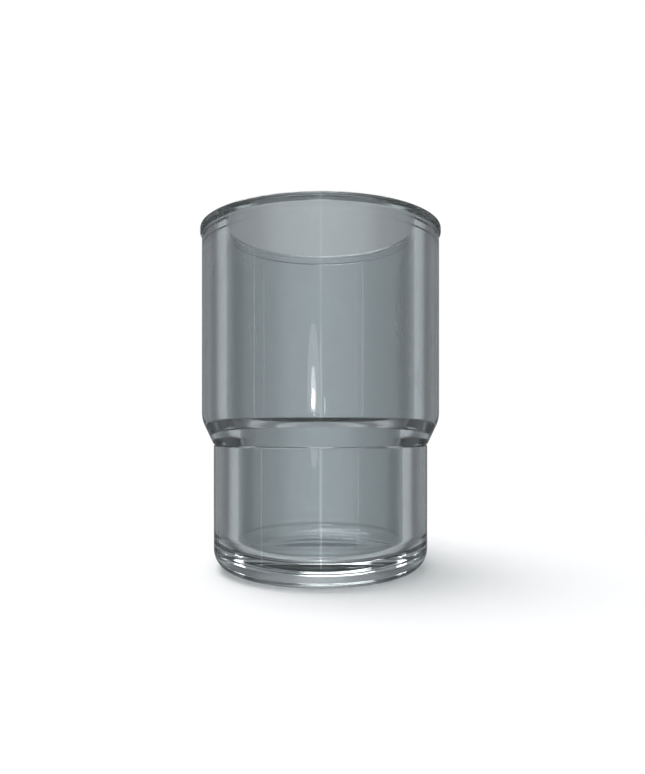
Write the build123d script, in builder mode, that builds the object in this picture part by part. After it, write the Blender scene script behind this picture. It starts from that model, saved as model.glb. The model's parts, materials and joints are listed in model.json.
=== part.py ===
from build123d import *
from math import radians, tan
import os

# A clear acrylic skimmer cup in two diameters. Five turned pieces are stacked on one axis and
# solvent-bonded face to face: from the bottom up, the base, the lower tube, the shoulder ring,
# the upper tube and the rim ring. Sizes are in mm. The axis is Z, and the cup stands on Z = 0.

# Overall sizes
total_height = 100.0
upper_radius = 35.0  # outside of the upper tube
lower_radius = 31.6  # outside of the lower tube and the base
upper_wall = 7.0
lower_wall = 7.0

# Base
base_thickness = 6.1  # from the standing face to the floor of the cup
base_upstand = 5.4  # wall that rises from the floor to the joint with the lower tube
base_corner = 6.5  # rounding of the bottom outer edge
floor_cove = 4.6  # rounding between the floor and the upstand
recess_radius = 11.5  # shallow recess in the middle of the underside
recess_depth = 0.4

# Shoulder
shoulder_foot = 36.7  # height of the joint between the lower tube and the shoulder ring
shoulder_angle = 25.0  # slope of the outside, in degrees from the axis
shoulder_blend = 9.0  # rounding where the slope runs into the upper wall
step_foot = 6.6  # from the shoulder's lower joint up to the inner step
step_angle = 65.0  # slope of the inner step, in degrees from the axis
shoulder_land = 1.0  # straight wall between those shapes and the joint with the upper tube
seam_ease = 0.3  # eased edges on both sides of the lower joint, which leave a fine groove

# Rim
rim_height = 2.2
rim_lip = 0.5  # how far the rim ring stands out from the upper tube
rim_edge = 0.6  # rounding of the rim's top outer edge
mouth_flare = 1.2  # how far the mouth opens out from the bore
flare_depth = 1.3

# Sizes that follow from those above
upper_bore = upper_radius - upper_wall
lower_bore = lower_radius - lower_wall
base_top = base_thickness + base_upstand
slope_rise = (upper_radius - lower_radius) / tan(radians(shoulder_angle))
blend_reach = shoulder_blend * tan(radians(shoulder_angle / 2))
step_rise = (upper_bore - lower_bore) / tan(radians(step_angle))
shoulder_height = max(slope_rise + blend_reach, step_foot + step_rise) + shoulder_land
shoulder_top = shoulder_foot + shoulder_height
rim_foot = total_height - rim_height
rim_radius = upper_radius + rim_lip
mouth_radius = upper_bore + mouth_flare

# Base: a thick disc with a low upstand, which carries the coved corner of the floor
with BuildPart() as base:
    with BuildSketch(Plane.XZ) as base_profile:
        with BuildLine():
            Polyline(
                (0, recess_depth),
                (recess_radius, recess_depth),
                (recess_radius, 0),
                (lower_radius, 0),
                (lower_radius, base_top),
                (lower_bore, base_top),
                (lower_bore, base_thickness),
                (0, base_thickness),
                close=True,
            )
        make_face()
        outer_corner = base_profile.vertices().sort_by_distance((lower_radius, 0))[0]
        fillet(outer_corner, base_corner)
        floor_corner = base_profile.vertices().sort_by_distance((lower_bore, base_thickness))[0]
        fillet(floor_corner, floor_cove)
    revolve(axis=Axis.Z)

base.part.label = "base"

# Lower tube: plain tube, with its top outer edge eased
with BuildPart() as lower_tube:
    with BuildSketch(Plane.XY.offset(base_top)):
        Circle(lower_radius)
        Circle(lower_bore, mode=Mode.SUBTRACT)
    extrude(amount=shoulder_foot - base_top)
    top_face = lower_tube.faces().sort_by(Axis.Z)[-1]
    chamfer(top_face.edges().sort_by(SortBy.RADIUS)[-1], seam_ease)

lower_tube.part.label = "lower_tube"

# Shoulder ring: sloped outside, stepped bore inside, and its bottom outer edge eased
with BuildPart() as shoulder_ring:
    with BuildSketch(Plane.XZ) as shoulder_profile:
        with BuildLine():
            Polyline(
                (lower_bore, shoulder_foot),
                (lower_radius, shoulder_foot),
                (upper_radius, shoulder_foot + slope_rise),
                (upper_radius, shoulder_top),
                (upper_bore, shoulder_top),
                (upper_bore, shoulder_foot + step_foot + step_rise),
                (lower_bore, shoulder_foot + step_foot),
                close=True,
            )
        make_face()
        slope_head = shoulder_profile.vertices().sort_by_distance(
            (upper_radius, shoulder_foot + slope_rise)
        )[0]
        fillet(slope_head, shoulder_blend)
    revolve(axis=Axis.Z)
    bottom_face = shoulder_ring.faces().sort_by(Axis.Z)[0]
    chamfer(bottom_face.edges().sort_by(SortBy.RADIUS)[-1], seam_ease)

shoulder_ring.part.label = "shoulder_ring"

# Upper tube: plain tube
with BuildPart() as upper_tube:
    with BuildSketch(Plane.XY.offset(shoulder_top)):
        Circle(upper_radius)
        Circle(upper_bore, mode=Mode.SUBTRACT)
    extrude(amount=rim_foot - shoulder_top)

upper_tube.part.label = "upper_tube"

# Rim ring: a slim lip outside, and a mouth that opens out on an arc
with BuildPart() as rim_ring:
    with BuildSketch(Plane.XZ):
        with BuildLine():
            section = Polyline(
                (upper_bore, total_height - flare_depth),
                (upper_bore, rim_foot),
                (upper_radius, rim_foot),
                (rim_radius, rim_foot + rim_lip),
                (rim_radius, total_height),
                (mouth_radius, total_height),
            )
            TangentArc(section @ 0, section @ 1, tangent=(0, 1))
        make_face()
    revolve(axis=Axis.Z)
    top_face = rim_ring.faces().sort_by(Axis.Z)[-1]
    fillet(top_face.edges().sort_by(SortBy.RADIUS)[-1], rim_edge)

rim_ring.part.label = "rim_ring"

os.makedirs("parts", exist_ok=True)
export_step(base.part, "parts/base.step")
export_step(lower_tube.part, "parts/lower_tube.step")
export_step(shoulder_ring.part, "parts/shoulder_ring.step")
export_step(upper_tube.part, "parts/upper_tube.step")
export_step(rim_ring.part, "parts/rim_ring.step")
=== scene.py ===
"""Looks of a clear acrylic skimmer cup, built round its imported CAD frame.

The cup is five turned acrylic pieces on one axis, bonded face to face. Each piece is made
here as a fine surface of revolution that stands for its CAD node, so that refraction through
the thick walls is smooth. All lengths are in metres.
"""

import json
import logging
import math
from dataclasses import dataclass
from enum import Enum
from typing import Any

import bpy
import numpy as np
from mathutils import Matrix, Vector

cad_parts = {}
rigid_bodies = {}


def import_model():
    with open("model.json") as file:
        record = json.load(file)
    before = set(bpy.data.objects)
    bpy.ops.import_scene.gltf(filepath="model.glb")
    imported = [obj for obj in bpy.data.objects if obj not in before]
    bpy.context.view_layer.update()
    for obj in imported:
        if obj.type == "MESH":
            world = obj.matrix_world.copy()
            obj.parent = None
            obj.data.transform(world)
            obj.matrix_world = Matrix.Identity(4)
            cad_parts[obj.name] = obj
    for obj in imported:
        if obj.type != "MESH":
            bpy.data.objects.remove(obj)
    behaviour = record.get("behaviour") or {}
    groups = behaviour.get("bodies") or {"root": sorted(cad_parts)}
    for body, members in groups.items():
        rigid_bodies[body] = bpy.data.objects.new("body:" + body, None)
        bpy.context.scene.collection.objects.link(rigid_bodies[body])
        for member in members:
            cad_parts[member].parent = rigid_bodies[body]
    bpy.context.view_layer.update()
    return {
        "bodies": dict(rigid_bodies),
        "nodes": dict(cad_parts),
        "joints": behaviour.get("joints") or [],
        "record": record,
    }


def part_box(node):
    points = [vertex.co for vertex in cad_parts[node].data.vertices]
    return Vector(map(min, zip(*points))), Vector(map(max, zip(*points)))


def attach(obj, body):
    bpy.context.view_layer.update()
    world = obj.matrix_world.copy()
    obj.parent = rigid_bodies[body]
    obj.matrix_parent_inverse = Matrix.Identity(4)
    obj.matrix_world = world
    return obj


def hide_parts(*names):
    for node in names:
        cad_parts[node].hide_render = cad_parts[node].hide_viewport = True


MM = 0.001
SEGMENTS = 384
ARC_STEPS = 14
SHARP_ANGLE = math.radians(16)
SAME_PLACE = 1e-9
SAME_JOINT = 1e-7
DEGREES = 180 / math.pi
NOISE_ROUGHNESS = 0.6
WHITE = (1, 1, 1, 1)
WARM = (1.0, 0.75, 0.65)
BODY = "root"
log = logging.getLogger("cup")


class Face(Enum):
    """The kinds of face on a bonded piece, by the number of their material slot."""

    FREE = 0
    BONDED = 1


class LampShape(Enum):
    """The outlines that a lamp can have, by Blender's names for them."""

    BOX = "RECTANGLE"
    OVAL = "ELLIPSE"


@dataclass(frozen=True)
class Corner:
    """One corner of a turned profile: its radius from the axis, its height and its rounding."""

    r: float
    z: float
    rounding: float = 0.0


def rounded_outline(corners: list[Corner], closed: bool) -> np.ndarray:
    """Works out a profile's points, with an arc at each rounded corner.

    An arc of radius q touches both sides of a corner of angle a at q / tan(a / 2) from it, and
    its centre lies on the bisector at q / sin(a / 2). Points along it turn evenly from one
    touching point to the other.

    Args:
        corners: The profile's corners in order, with the solid on the left.
        closed: True if the last corner joins the first.

    Returns:
        An array with a row (radius, height) for each point.
    """
    points = np.array([(c.r, c.z) for c in corners])
    runs = []
    for i, corner in enumerate(corners):
        at_end = not closed and i in (0, len(corners) - 1)
        if at_end or corner.rounding == 0:
            runs.append(points[i : i + 1])
            continue
        back = points[i - 1] - points[i]
        ahead = points[(i + 1) % len(points)] - points[i]
        back /= np.linalg.norm(back)
        ahead /= np.linalg.norm(ahead)
        half = math.acos(float(np.clip(back @ ahead, -1, 1))) / 2
        bisector = (back + ahead) / np.linalg.norm(back + ahead)
        centre = points[i] + bisector * corner.rounding / math.sin(half)
        start = points[i] + back * corner.rounding / math.tan(half) - centre
        end = points[i] + ahead * corner.rounding / math.tan(half) - centre
        sweep = math.pi - 2 * half
        t = np.linspace(0, 1, ARC_STEPS)[:, None]
        arc = (np.sin((1 - t) * sweep) * start + np.sin(t * sweep) * end) / math.sin(sweep)
        runs.append(centre + arc)
    return np.vstack(runs)


def turned_mesh(name: str, profile: np.ndarray, joints: tuple[float, ...]) -> bpy.types.Mesh:
    """Turns a profile about Z into a closed mesh.

    A point (r, z) of the profile becomes the ring (r cos t, r sin t, z), with t from 0 to a
    full turn, and a point on the axis becomes one vertex. Level rings of faces at a joint's
    height get the slot of bonded faces.

    Args:
        name: The mesh's name.
        profile: Rows of (radius, height). It closes on itself, or starts and ends on the axis.
        joints: The heights of the piece's bonded faces.

    Returns:
        The new mesh, with smooth faces and sharp edges at the profile's corners.
    """
    on_axis = profile[:, 0] < SAME_PLACE
    counts = np.where(on_axis, 1, SEGMENTS)
    first = np.cumsum(counts) - counts
    ring = np.repeat(np.arange(len(profile)), counts)
    turn = (np.arange(counts.sum()) - first[ring]) * 2 * math.pi / SEGMENTS
    r, z = profile[ring].T
    vertices = np.stack([r * np.cos(turn), r * np.sin(turn), z], axis=1)

    start = np.arange(len(profile))
    end = np.roll(start, -1)
    start, end = (side[~(on_axis[start] & on_axis[end])] for side in (start, end))
    here = np.arange(SEGMENTS)
    ahead = np.roll(here, -1)
    corners = [
        first[ring][:, None] + step[None] * ~on_axis[ring][:, None]
        for ring, step in ((start, here), (start, ahead), (end, ahead), (end, here))
    ]
    quads = np.stack(corners, axis=2)
    level = np.abs(profile[start, 1] - profile[end, 1]) < SAME_PLACE
    to_joint = np.abs(profile[start, 1][:, None] - np.array(joints))
    at_joint = (to_joint < SAME_JOINT).any(axis=1)
    slots = np.where(level & at_joint, Face.BONDED.value, Face.FREE.value)

    fan_out, fan_in = on_axis[start], on_axis[end]
    plain = ~(fan_out | fan_in)
    polygons = [
        *quads[plain].reshape(-1, 4).tolist(),
        *quads[fan_out][:, :, [0, 2, 3]].reshape(-1, 3).tolist(),
        *quads[fan_in][:, :, [0, 1, 2]].reshape(-1, 3).tolist(),
    ]
    order = np.concatenate([slots[plain], slots[fan_out], slots[fan_in]])

    mesh = bpy.data.meshes.new(name)
    mesh.from_pydata(vertices.tolist(), [], polygons)
    mesh.polygons.foreach_set("material_index", np.repeat(order, SEGMENTS).astype(np.int32))
    mesh.polygons.foreach_set("use_smooth", np.ones(len(polygons), dtype=bool))
    mesh.set_sharp_from_angle(angle=SHARP_ANGLE)
    mesh.update()
    return mesh


class Shader:
    """Builds one material's or world's node tree."""

    def __init__(self, owner: bpy.types.Material | bpy.types.World) -> None:
        """Empties the owner's tree, to build in it.

        Args:
            owner: The material or world.
        """
        owner.use_nodes = True
        self.tree = owner.node_tree
        self.tree.nodes.clear()

    def node(
        self, kind: str, settings: dict[str, Any] | None = None, **sockets: Any
    ) -> bpy.types.Node:
        """Adds a node.

        Args:
            kind: The node's type, without the word ShaderNode.
            settings: The node's own properties, set before its sockets.
            **sockets: Values or links by socket name, with _ for a space, or i and a number.

        Returns:
            The new node.
        """
        node = self.tree.nodes.new(f"ShaderNode{kind}")
        for key, value in (settings or {}).items():
            setattr(node, key, value)
        for key, value in sockets.items():
            name = int(key[1:]) if key[1:].isdigit() and key[0] == "i" else key.replace("_", " ")
            target = node.inputs[name]
            if isinstance(value, Number):
                value = value.socket
            if isinstance(value, bpy.types.NodeSocket):
                self.tree.links.new(value, target)
            else:
                target.default_value = value
        return node


class Number:
    """A shader number that Python's operators work on."""

    def __init__(self, shader: Shader, socket: bpy.types.NodeSocket) -> None:
        """Wraps an output socket.

        Args:
            shader: The tree that new nodes go into.
            socket: The socket that gives the number.
        """
        self.shader = shader
        self.socket = socket

    def math(self, operation: str, *others: "Number | float") -> "Number":
        """Adds a Math node.

        Args:
            operation: The node's operation.
            *others: What the operation takes after this number.

        Returns:
            The node's result.
        """
        sockets = {f"i{i}": value for i, value in enumerate((self, *others))}
        node = self.shader.node("Math", {"operation": operation}, **sockets)
        return Number(self.shader, node.outputs[0])

    def within_unit(self) -> "Number":
        """This number, held between 0 and 1."""
        return self.math("MAXIMUM", 0.0).math("MINIMUM", 1.0)

    def __add__(self, other: "Number | float") -> "Number":
        """Sum."""
        return self.math("ADD", other)

    __radd__ = __add__

    def __mul__(self, other: "Number | float") -> "Number":
        """Product."""
        return self.math("MULTIPLY", other)

    __rmul__ = __mul__

    def __sub__(self, other: "Number | float") -> "Number":
        """Difference."""
        return self.math("SUBTRACT", other)

    def __rsub__(self, other: float) -> "Number":
        """Difference from a plain number."""
        return self * -1.0 + other

    def __truediv__(self, other: "Number | float") -> "Number":
        """Quotient."""
        return self.math("DIVIDE", other)


@dataclass(frozen=True)
class Pattern:
    """How closely a pattern repeats on a turned piece.

    Attributes:
        across: Pattern lengths in one full turn, times 1 / (2 pi).
        up: Pattern lengths per metre of height.
        out: Pattern lengths per metre of distance from the axis.
        lean: Radians of turn per metre of height, for patterns that lean over.
    """

    across: float
    up: float
    out: float
    lean: float = 0.0


@dataclass(frozen=True)
class Marks:
    """Scattered marks, at most one to each Voronoi cell of a pattern.

    Attributes:
        pattern: The pattern of the cells.
        width: A mark's half-width, in pattern lengths.
        share: The part of the cells that hold a mark.
    """

    pattern: Pattern
    width: float
    share: float


class TurnedPlace:
    """Where a shaded point lies on a turned piece, from its Object coordinates."""

    def __init__(self, shader: Shader) -> None:
        """Works out the angle about Z, the distance from the axis and the height.

        Args:
            shader: The tree of the material.
        """
        self.shader = shader
        place = shader.node("SeparateXYZ", Vector=shader.node("TexCoord").outputs["Object"])
        x, y, self.height = (Number(shader, socket) for socket in place.outputs)
        self.turn = x.math("ARCTAN2", y)
        self.radius = (x * x + y * y).math("SQRT")

    def coordinates(self, pattern: Pattern) -> bpy.types.NodeSocket:
        """Coordinates for a pattern that runs round the piece.

        Args:
            pattern: How closely it repeats.

        Returns:
            A vector socket.
        """
        turn = (self.turn + self.height * pattern.lean) * pattern.across
        up, out = self.height * pattern.up, self.radius * pattern.out
        return self.shader.node("CombineXYZ", X=turn, Y=up, Z=out).outputs[0]

    def noise(self, pattern: Pattern, detail: float = 2.0) -> Number:
        """Soft noise.

        Args:
            pattern: How closely it repeats.
            detail: How many finer layers are laid over the first.

        Returns:
            A number from 0 to 1.
        """
        noise = self.shader.node(
            "TexNoise",
            Vector=self.coordinates(pattern),
            Scale=1.0,
            Detail=detail,
            Roughness=NOISE_ROUGHNESS,
        )
        return Number(self.shader, noise.outputs[0])

    def marks(self, marks: Marks) -> Number:
        """Scattered marks.

        Args:
            marks: Their pattern, width and share.

        Returns:
            A number that is 1 on the marks and 0 elsewhere.
        """
        cells = self.shader.node("TexVoronoi", Vector=self.coordinates(marks.pattern), Scale=1.0)
        near = Number(self.shader, cells.outputs["Distance"]).math("LESS_THAN", marks.width)
        colour = self.shader.node("SeparateColor", i0=cells.outputs["Color"])
        chosen = Number(self.shader, colour.outputs[0]).math("LESS_THAN", marks.share)
        return near * chosen


@dataclass(frozen=True)
class ClearAcrylic:
    """Cast acrylic, faintly grey-green, polished but handled: wiped, scratched and specked.

    Attributes:
        tint: Its colour.
        ior: Its refractive index.
        clear: How much of the light goes in.
        roughness: The roughness of its polish.
        smears: The pattern of wiped smears.
        smear_contrast: How sharply smears stand out from each other.
        wiped: The roughness that a smear adds.
        scratches: Fine leaning scratches.
        scratched: The roughness that a scratch adds.
        scratch_depth: How deep a scratch is, in metres.
        scratch_white: How much paler a scratch is.
        specks: Specks of dust and dried water.
        specked: The roughness that a speck adds.
        lines: The pattern of upright lines from drawing and polishing.
        line_height: How high those lines stand, in metres.
        waves: The pattern of slow waves in the surface.
        wave_height: How high the waves stand, in metres.
        cloud: The pattern of a thin uneven film.
        cloud_detail: How many finer layers that film has.
        film: How much the film lightens or darkens the colour.
    """

    tint: tuple[float, float, float] = (0.80, 0.85, 0.86)
    ior: float = 1.49
    clear: float = 0.97
    roughness: float = 0.006
    smears: Pattern = Pattern(across=3.0, up=60.0, out=40.0)
    smear_contrast: float = 3.0
    wiped: float = 0.02
    scratches: Marks = Marks(Pattern(across=44.0, up=14.0, out=0.0, lean=7.0), 0.14, 0.05)
    scratched: float = 0.3
    scratch_depth: float = 0.000006
    scratch_white: float = 0.15
    specks: Marks = Marks(Pattern(across=14.0, up=400.0, out=400.0), 0.09, 0.16)
    specked: float = 0.2
    lines: Pattern = Pattern(across=90.0, up=4.0, out=0.0)
    line_height: float = 0.0000012
    waves: Pattern = Pattern(across=5.0, up=45.0, out=0.0)
    wave_height: float = 0.000006
    cloud: Pattern = Pattern(across=9.0, up=260.0, out=200.0)
    cloud_detail: float = 4.0
    film: float = 0.06

    def material(self) -> bpy.types.Material:
        """Makes the material."""
        material = bpy.data.materials.new("clear_acrylic")
        shader = Shader(material)
        place = TurnedPlace(shader)
        smears = ((place.noise(self.smears) - 0.5) * self.smear_contrast).within_unit()
        scratches = place.marks(self.scratches)
        specks = place.marks(self.specks)
        roughness = smears * self.wiped + scratches * self.scratched + specks * self.specked
        lines = place.noise(self.lines)
        waves = place.noise(self.waves, detail=0.0)
        height = (
            lines * self.line_height
            + waves * self.wave_height
            + scratches * -self.scratch_depth
        )
        cloud = place.noise(self.cloud, detail=self.cloud_detail)
        thin = (cloud - 0.5) * (2.0 * self.film) + 1.0 + scratches * self.scratch_white
        red, green, blue = (thin * channel for channel in self.tint)
        film = shader.node("CombineColor", Red=red, Green=green, Blue=blue)
        bump = shader.node("Bump", Strength=1.0, Distance=1.0, Height=height)
        surface = shader.node(
            "BsdfPrincipled",
            Base_Color=film.outputs[0],
            Roughness=roughness + self.roughness,
            IOR=self.ior,
            Normal=bump.outputs[0],
            Transmission_Weight=self.clear,
        )
        shader.node("OutputMaterial", Surface=surface.outputs[0])
        return material


@dataclass(frozen=True)
class BondedFace:
    """A face wetted out by solvent cement: light crosses it but for a trace of haze in patches.

    Attributes:
        colour: The colour of the haze.
        patches: The pattern of the haze.
        haze: How dense the haze can be.
        roughness: The roughness between patches, and what a patch adds to it.
    """

    colour: tuple[float, float, float, float] = (0.8, 0.85, 0.85, 1)
    patches: Pattern = Pattern(across=6.0, up=0.0, out=300.0)
    haze: float = 0.05
    roughness: float = 0.3

    def material(self) -> bpy.types.Material:
        """Makes the material."""
        material = bpy.data.materials.new("bonded_face")
        shader = Shader(material)
        patches = TurnedPlace(shader).noise(self.patches)
        surface = shader.node(
            "BsdfPrincipled",
            Base_Color=self.colour,
            Roughness=patches * self.roughness + self.roughness,
            Alpha=patches * self.haze,
        )
        shader.node("OutputMaterial", Surface=surface.outputs[0])
        return material


def reach(node: str) -> float:
    """The outer radius of a turned node: the least that its box reaches along X and Y.

    Args:
        node: The CAD node's name.

    Returns:
        The radius, which keeps a new piece inside the node's box.
    """
    low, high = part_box(node)
    return min(abs(side) for side in (*low[:2], *high[:2]))


@dataclass(frozen=True)
class CupSizes:
    """Radii that neighbouring pieces share, read from the frame."""

    upper_radius: float
    upper_bore: float
    lower_radius: float
    lower_bore: float

    @classmethod
    def from_frame(cls, frame: dict[str, Any]) -> "CupSizes":
        """Reads the outer radii from the nodes' boxes and the bores from their vertices.


        Returns:
            The shared sizes.
        """

        def bore(node: str) -> float:
            """The smallest distance from the axis of any vertex of a node."""
            vertices = frame["nodes"][node].data.vertices
            places = np.empty(len(vertices) * 3)
            vertices.foreach_get("co", places)
            x, y, _ = places.reshape(-1, 3).T
            return float(np.hypot(x, y).min())

        return cls(
            upper_radius=reach("upper_tube"),
            upper_bore=bore("upper_tube"),
            lower_radius=reach("lower_tube"),
            lower_bore=bore("lower_tube"),
        )


@dataclass
class Turning:
    """A turned acrylic piece that stands for one CAD node."""

    sizes: CupSizes
    node: str = ""
    edge: float = 0.15 * MM

    def __post_init__(self) -> None:
        """Reads the node's height span and radius from the frame."""
        low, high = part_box(self.node)
        self.foot, self.top, self.radius = low[2], high[2], reach(self.node)

    def corners(self) -> list[Corner]:
        """The profile's corners, with the solid on the left."""
        raise NotImplementedError

    def joints(self) -> tuple[float, ...]:
        """The heights of the bonded faces."""
        return (self.foot, self.top)

    def build(self, finishes: list[bpy.types.Material]) -> bpy.types.Object:
        """Builds the piece, attaches it to the cup's body and hides its CAD node.

        Args:
            finishes: The materials of the free and the bonded faces.

        Returns:
            The finished piece.
        """
        corners = self.corners()
        profile = rounded_outline(corners, closed=corners[0].r > 0)
        mesh = turned_mesh(self.node, profile, self.joints())
        for finish in finishes:
            mesh.materials.append(finish)
        piece = bpy.data.objects.new(f"{self.node}_clear", mesh)
        bpy.context.scene.collection.objects.link(piece)
        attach(piece, BODY)
        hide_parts(self.node)
        log.info("%s: %d faces", piece.name, len(mesh.polygons))
        return piece


@dataclass
class Base(Turning):
    """The thick turned base: rounded bottom edge, shallow recess, coved floor and upstand."""

    node: str = "base"
    thickness: float = 6.1 * MM
    corner: float = 6.5 * MM
    cove: float = 4.6 * MM
    recess_radius: float = 11.5 * MM
    recess_depth: float = 0.4 * MM

    def corners(self) -> list[Corner]:
        """From the axis under the base, round the outside and back in along the floor."""
        return [
            Corner(0, self.recess_depth),
            Corner(self.recess_radius, self.recess_depth, self.edge),
            Corner(self.recess_radius, 0, self.edge),
            Corner(self.sizes.lower_radius, 0, self.corner),
            Corner(self.sizes.lower_radius, self.top),
            Corner(self.sizes.lower_bore, self.top),
            Corner(self.sizes.lower_bore, self.thickness, self.cove),
            Corner(0, self.thickness),
        ]

    def joints(self) -> tuple[float, ...]:
        """Only the top of the upstand is bonded."""
        return (self.top,)


@dataclass
class LowerTube(Turning):
    """Plain tube, eased at its top outer edge."""

    node: str = "lower_tube"
    ease: float = 0.3 * MM

    def corners(self) -> list[Corner]:
        """Up the outside and down the bore."""
        radius, bore = self.sizes.lower_radius, self.sizes.lower_bore
        return [
            Corner(bore, self.foot),
            Corner(radius, self.foot),
            Corner(radius, self.top - self.ease, self.edge),
            Corner(radius - self.ease, self.top),
            Corner(bore, self.top),
        ]


@dataclass
class ShoulderRing(Turning):
    """Sloped outside, stepped bore inside, eased at its bottom outer edge."""

    node: str = "shoulder_ring"
    ease: float = 0.3 * MM
    slope: float = math.radians(25)
    blend: float = 9.0 * MM
    step_foot: float = 6.6 * MM
    step_slope: float = math.radians(65)
    step_edge: float = 0.3 * MM

    def corners(self) -> list[Corner]:
        """Up the slope outside and down over the step inside."""
        s = self.sizes
        slope_head = self.foot + (s.upper_radius - s.lower_radius) / math.tan(self.slope)
        step_foot = self.foot + self.step_foot
        step_head = step_foot + (s.upper_bore - s.lower_bore) / math.tan(self.step_slope)
        eased_r = s.lower_radius + self.ease * math.sin(self.slope)
        eased_z = self.foot + self.ease * math.cos(self.slope)
        return [
            Corner(s.lower_bore, self.foot),
            Corner(s.lower_radius - self.ease, self.foot),
            Corner(eased_r, eased_z, self.edge),
            Corner(s.upper_radius, slope_head, self.blend),
            Corner(s.upper_radius, self.top),
            Corner(s.upper_bore, self.top),
            Corner(s.upper_bore, step_head, self.step_edge),
            Corner(s.lower_bore, step_foot, self.step_edge),
        ]


@dataclass
class UpperTube(Turning):
    """Plain tube."""

    node: str = "upper_tube"

    def corners(self) -> list[Corner]:
        """Up the outside and down the bore."""
        radius, bore = self.sizes.upper_radius, self.sizes.upper_bore
        return [
            Corner(bore, self.foot),
            Corner(radius, self.foot),
            Corner(radius, self.top),
            Corner(bore, self.top),
        ]


@dataclass
class RimRing(Turning):
    """A slim lip outside and a mouth that opens out on an arc."""

    node: str = "rim_ring"
    rim_edge: float = 0.6 * MM
    flare: float = 1.2 * MM
    flare_depth: float = 1.3 * MM

    def flare_arc(self) -> list[Corner]:
        """The mouth's arc, which leaves the bore upright.

        An arc that starts upright and moves out by w over a height h has the radius
        (w * w + h * h) / (2 * w), with its centre level with its start.
        """
        radius = (self.flare**2 + self.flare_depth**2) / (2 * self.flare)
        centre_r, centre_z = self.sizes.upper_bore + radius, self.top - self.flare_depth
        last = math.asin(self.flare_depth / radius)
        turns = np.linspace(last, 0, ARC_STEPS)
        across = centre_r - radius * np.cos(turns)
        up = centre_z + radius * np.sin(turns)
        return [Corner(float(r), float(z)) for r, z in zip(across, up, strict=True)]

    def corners(self) -> list[Corner]:
        """Up over the lip, in across the top and down the flare."""
        lip = self.radius - self.sizes.upper_radius
        mouth, *arc = self.flare_arc()
        return [
            Corner(self.sizes.upper_bore, self.foot),
            Corner(self.sizes.upper_radius, self.foot),
            Corner(self.radius, self.foot + lip, self.edge),
            Corner(self.radius, self.top, self.rim_edge),
            Corner(mouth.r, mouth.z, self.edge / 2),
            *arc,
        ]

    def joints(self) -> tuple[float, ...]:
        """Only the foot of the ring is bonded."""
        return (self.foot,)


@dataclass(frozen=True)
class Lamp:
    """A flat lamp.

    Attributes:
        name: Its name.
        place: Its centre.
        aim: The point that it faces.
        size: Its width and height.
        watts: Its power.
        shape: Its outline.
        colour: Its colour.
        seen_through: False if it only shows as a reflection, not through the acrylic.
    """

    name: str
    place: tuple[float, float, float]
    aim: tuple[float, float, float]
    size: tuple[float, float]
    watts: float
    shape: LampShape = LampShape.OVAL
    colour: tuple[float, float, float] = WHITE[:3]
    seen_through: bool = True

    def build(self) -> None:
        """Adds the lamp to the scene."""
        light = bpy.data.lights.new(self.name, "AREA")
        light.shape = self.shape.value
        light.size, light.size_y = self.size
        light.energy = self.watts
        light.color = self.colour
        lamp = bpy.data.objects.new(self.name, light)
        bpy.context.scene.collection.objects.link(lamp)
        away = np.array(self.aim) - np.array(self.place)
        yaw = math.atan2(away[1], away[0]) - math.pi / 2
        tilt = math.atan2(away[2], math.hypot(away[0], away[1])) + math.pi / 2
        lamp.visible_transmission = self.seen_through
        lamp.location = self.place
        lamp.rotation_euler = (tilt, 0, yaw)


SOFTBOXES = (
    Lamp("top_softbox", (-0.2, 0.1, 0.9), (0, 0, 0.05), (0.8, 0.8), 9.0, LampShape.BOX),
    Lamp("front_softbox", (0.0, -0.55, 0.5), (0, 0, 0.05), (0.45, 0.12), 1.0, LampShape.BOX),
)
FLASHES = (
    Lamp("small_flash", (-0.020, -0.195, 0.054), (0, 0, 0.054), (0.006, 0.012), 0.02),
    Lamp(
        "flash_halo", (-0.020, -0.196, 0.056), (0, 0, 0.056), (0.014, 0.030), 0.007,
        seen_through=False,
    ),
    Lamp(
        "flash_glow", (-0.020, -0.197, 0.058), (0, 0, 0.056), (0.034, 0.070), 0.010,
        seen_through=False,
    ),
)
STRIPS = (
    Lamp(
        "front_strip", (0.002, -0.4, 0.075), (0, 0, 0.075), (0.014, 0.5), 0.012,
        seen_through=False,
    ),
    Lamp(
        "low_strip", (0.002, -0.39, 0.0), (0, 0, 0.0), (0.018, 0.24), 0.016,
        seen_through=False,
    ),
    Lamp(
        "left_strip", (-0.35, -0.2, 0.05), (0, 0, 0.05), (0.006, 0.3), 0.010,
        colour=WARM,
    ),
    Lamp(
        "right_strip", (0.24, -0.32, 0.05), (0, 0, 0.05), (0.006, 0.3), 0.007,
        colour=WARM,
    ),
)


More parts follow.
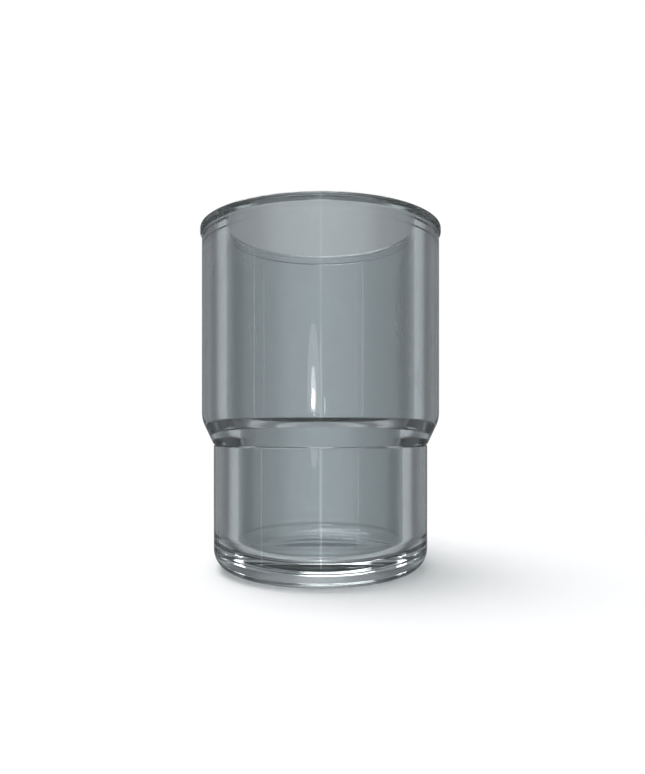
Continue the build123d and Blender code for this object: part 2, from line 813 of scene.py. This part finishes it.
@dataclass(frozen=True)
class Floor:
    """A pale round sheet that fades out to the white round about.

    Attributes:
        radius: The sheet's radius.
        sides: How many sides its edge has.
        grey: How pale it is.
        roughness: How matt it is.
        fade_start: Its alpha before the fade, which is over 1 so that the middle is solid.
        fade: How much alpha is lost from the axis to the edge.
    """

    radius: float = 0.4
    sides: int = 96
    grey: float = 0.9
    roughness: float = 0.9
    fade_start: float = 1.5
    fade: float = 4.0

    def build(self) -> None:
        """Lays the floor, which only the camera sees."""
        turn = np.linspace(0, 2 * math.pi, self.sides, endpoint=False)
        ring = np.stack([np.cos(turn), np.sin(turn), 0 * turn], axis=1) * self.radius
        mesh = bpy.data.meshes.new("pale_floor")
        mesh.from_pydata(ring.tolist(), [], [list(range(self.sides))])
        material = bpy.data.materials.new("pale_floor")
        shader = Shader(material)
        away = TurnedPlace(shader).radius / self.radius
        surface = shader.node(
            "BsdfPrincipled",
            Base_Color=(self.grey, self.grey, self.grey, 1),
            Roughness=self.roughness,
            Alpha=(self.fade_start - away * self.fade).within_unit(),
        )
        shader.node("OutputMaterial", Surface=surface.outputs[0])
        mesh.materials.append(material)
        floor = bpy.data.objects.new("pale_floor", mesh)
        bpy.context.scene.collection.objects.link(floor)
        for ray in ("diffuse", "glossy", "transmission", "shadow"):
            setattr(floor, f"visible_{ray}", False)


@dataclass(frozen=True)
class Room:
    """A soft room, whose walls shade off by direction.

    Attributes:
        colour: The walls' colour, which every level is multiplied by.
        walls: Level by degrees of turn away from straight ahead.
        heights: Level by degrees above the horizon.
        depths: How much the level by height counts, by degrees of turn.
    """

    colour: tuple[float, float, float] = (0.96, 1.0, 1.03)
    walls: tuple[tuple[float, float], ...] = (
        (0, 0.51), (5, 0.46), (10, 0.33), (18, 0.25), (28, 0.14), (36, 0.13), (47, 0.33),
        (62, 0.49), (100, 0.38), (180, 0.34),
    )
    heights: tuple[tuple[float, float], ...] = (
        (-90, 1.6), (-60, 1.6), (-45, 0.8), (-34, 0.5), (-26, 0.95), (-18, 0.65), (-12, 1.0),
        (8, 1.0), (16, 1.0), (24, 1.1), (30, 0.6), (38, 0.4), (50, 0.8), (60, 1.2), (90, 1.6),
    )
    depths: tuple[tuple[float, float], ...] = ((0, 1.0), (38, 1.0), (70, 0.15), (180, 0.15))

    def shade(self, angle: Number, stops: tuple[tuple[float, float], ...]) -> Number:
        """Runs smoothly between stops.

        Args:
            angle: An angle in radians.
            stops: Pairs of (degrees, level), in order.

        Returns:
            The level at the angle.
        """
        first, last = stops[0][0], stops[-1][0]
        value = (angle * DEGREES - first) / (last - first)
        curve = angle.shader.node("FloatCurve", Value=value)
        top = max(level for _, level in stops)
        points = curve.mapping.curves[0].points
        while len(points) < len(stops):
            points.new(0.5, 0.5)
        for point, (degrees, level) in zip(points, stops, strict=True):
            point.location = ((degrees - first) / (last - first), level / top)
        curve.mapping.update()
        return Number(angle.shader, curve.outputs[0]) * top

    def build(self) -> None:
        """Makes the world: white to the camera, and the room to what the acrylic bends."""
        world = bpy.data.worlds.new("studio")
        bpy.context.scene.world = world
        shader = Shader(world)
        path = shader.node("LightPath")
        way = shader.node("SeparateXYZ", Vector=shader.node("TexCoord").outputs["Generated"])
        x, y, z = (Number(shader, socket) for socket in way.outputs)
        turn = x.math("ARCTAN2", y).math("ABSOLUTE")
        side = self.shade(turn, self.walls)
        rise = self.shade(z.math("ARCSINE"), self.heights)
        depth = self.shade(turn, self.depths)
        level = (rise - 1.0) * depth + 1.0
        red, green, blue = (side * channel for channel in self.colour)
        grey = shader.node("CombineColor", Red=red, Green=green, Blue=blue)
        room = shader.node("Background", Color=grey.outputs[0], Strength=level)
        white = shader.node("Background", Color=WHITE, Strength=1.0)
        seen = path.outputs["Is Camera Ray"]
        mix = shader.node("MixShader", i0=seen, i1=room.outputs[0], i2=white.outputs[0])
        shader.node("OutputWorld", Surface=mix.outputs[0])


@dataclass(frozen=True)
class Camera:
    """A close, level camera at the height of the shoulder.

    Attributes:
        place: Where it stands.
        lens: Its focal length in millimetres.
        sensor: Its sensor's width in millimetres.
        shift: How far the view is shifted, in sensor widths.
        clip: The nearest and the farthest distance that it sees.
    """

    place: tuple[float, float, float] = (0, -192.3 * MM, 43.3 * MM)
    lens: float = 29.8
    sensor: float = 36
    shift: tuple[float, float] = (0.0026, 0.045)
    clip: tuple[float, float] = (0.01, 20)

    def build(self) -> None:
        """Makes the camera and gives it to the scene."""
        data = bpy.data.cameras.new("camera")
        data.lens = self.lens
        data.sensor_width = self.sensor
        data.shift_x, data.shift_y = self.shift
        data.clip_start, data.clip_end = self.clip
        camera = bpy.data.objects.new("camera", data)
        camera.location = self.place
        camera.rotation_euler = (math.pi / 2, 0, 0)
        bpy.context.scene.collection.objects.link(camera)
        bpy.context.scene.camera = camera


def main() -> None:
    """Builds the cup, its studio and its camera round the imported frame."""
    logging.basicConfig(level=logging.INFO, format="%(name)s: %(message)s")
    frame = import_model()
    sizes = CupSizes.from_frame(frame)
    finishes = [ClearAcrylic().material(), BondedFace().material()]
    for kind in (Base, LowerTube, ShoulderRing, UpperTube, RimRing):
        kind(sizes).build(finishes)
    Room().build()
    Floor().build()
    for lamp in (*SOFTBOXES, *FLASHES, *STRIPS):
        lamp.build()
    Camera().build()
    bpy.context.scene.view_settings.view_transform = "Standard"


if __name__ == "__main__":
    main()
